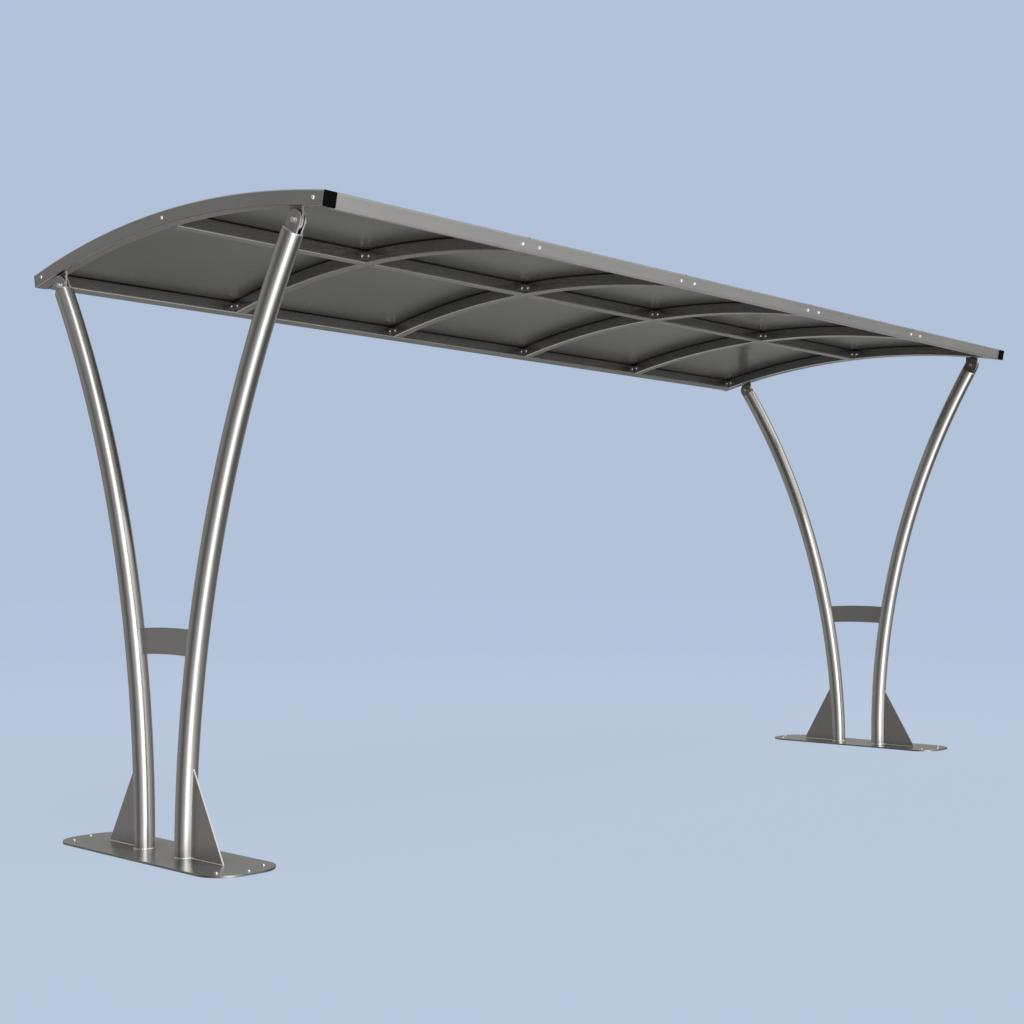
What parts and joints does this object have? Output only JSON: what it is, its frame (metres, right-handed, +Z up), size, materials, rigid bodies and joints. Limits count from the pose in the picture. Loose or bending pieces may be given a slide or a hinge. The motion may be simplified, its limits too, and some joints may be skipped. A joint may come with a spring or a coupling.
{
  "type": "bike shelter",
  "caption": "Free-standing open bike shelter: arched sheet-metal roof on square-tube ribs, carried at each end by two bowed round posts on a long base plate.",
  "frame": {"origin": "on the floor, in the middle between the two ends and between front and rear", "axes": "+X along the roof to the right end as seen from the front, -Y to the front, +Z up"},
  "size_m": [5.255, 1.9658, 2.432],
  "materials": {
    "plate_steel": "brushed",
    "post_tube": "brushed along the tube",
    "frame_tube": "brushed along the tube",
    "fastener_steel": "plain, satin",
    "roof_sheet": "smooth satin sheet",
    "cap_plastic": "matt black"
  },
  "bodies": {
    "root": {"base_plate_left": "plate_steel", "base_plate_right": "plate_steel", "post_left_front": "post_tube", "post_left_rear": "post_tube", "post_right_front": "post_tube", "post_right_rear": "post_tube", "gusset_left_front": "plate_steel", "gusset_left_rear": "plate_steel", "gusset_right_front": "plate_steel", "gusset_right_rear": "plate_steel", "tie_plate_left": "plate_steel", "tie_plate_right": "plate_steel", "fork_left_front": "plate_steel", "fork_left_rear": "plate_steel", "fork_right_front": "plate_steel", "fork_right_rear": "plate_steel", "lug_left_front": "plate_steel", "lug_left_rear": "plate_steel", "lug_right_front": "plate_steel", "lug_right_rear": "plate_steel", "hinge_pins": "fastener_steel", "end_rib_left": "frame_tube", "end_rib_right": "frame_tube", "rib_1": "frame_tube", "rib_2": "frame_tube", "rib_3": "frame_tube", "rib_4": "frame_tube", "front_rail": "frame_tube", "rear_rail": "frame_tube", "purlin_1": "frame_tube", "purlin_2": "frame_tube", "purlin_3": "frame_tube", "purlin_4": "frame_tube", "purlin_5": "frame_tube", "roof_panel_1": "roof_sheet", "roof_panel_2": "roof_sheet", "roof_panel_3": "roof_sheet", "roof_panel_4": "roof_sheet", "roof_panel_5": "roof_sheet", "end_caps": "cap_plastic", "front_rail_brackets": "fastener_steel", "rear_rail_brackets": "fastener_steel", "purlin_front_brackets": "fastener_steel", "purlin_rear_brackets": "fastener_steel"}
  },
  "joints": []
}
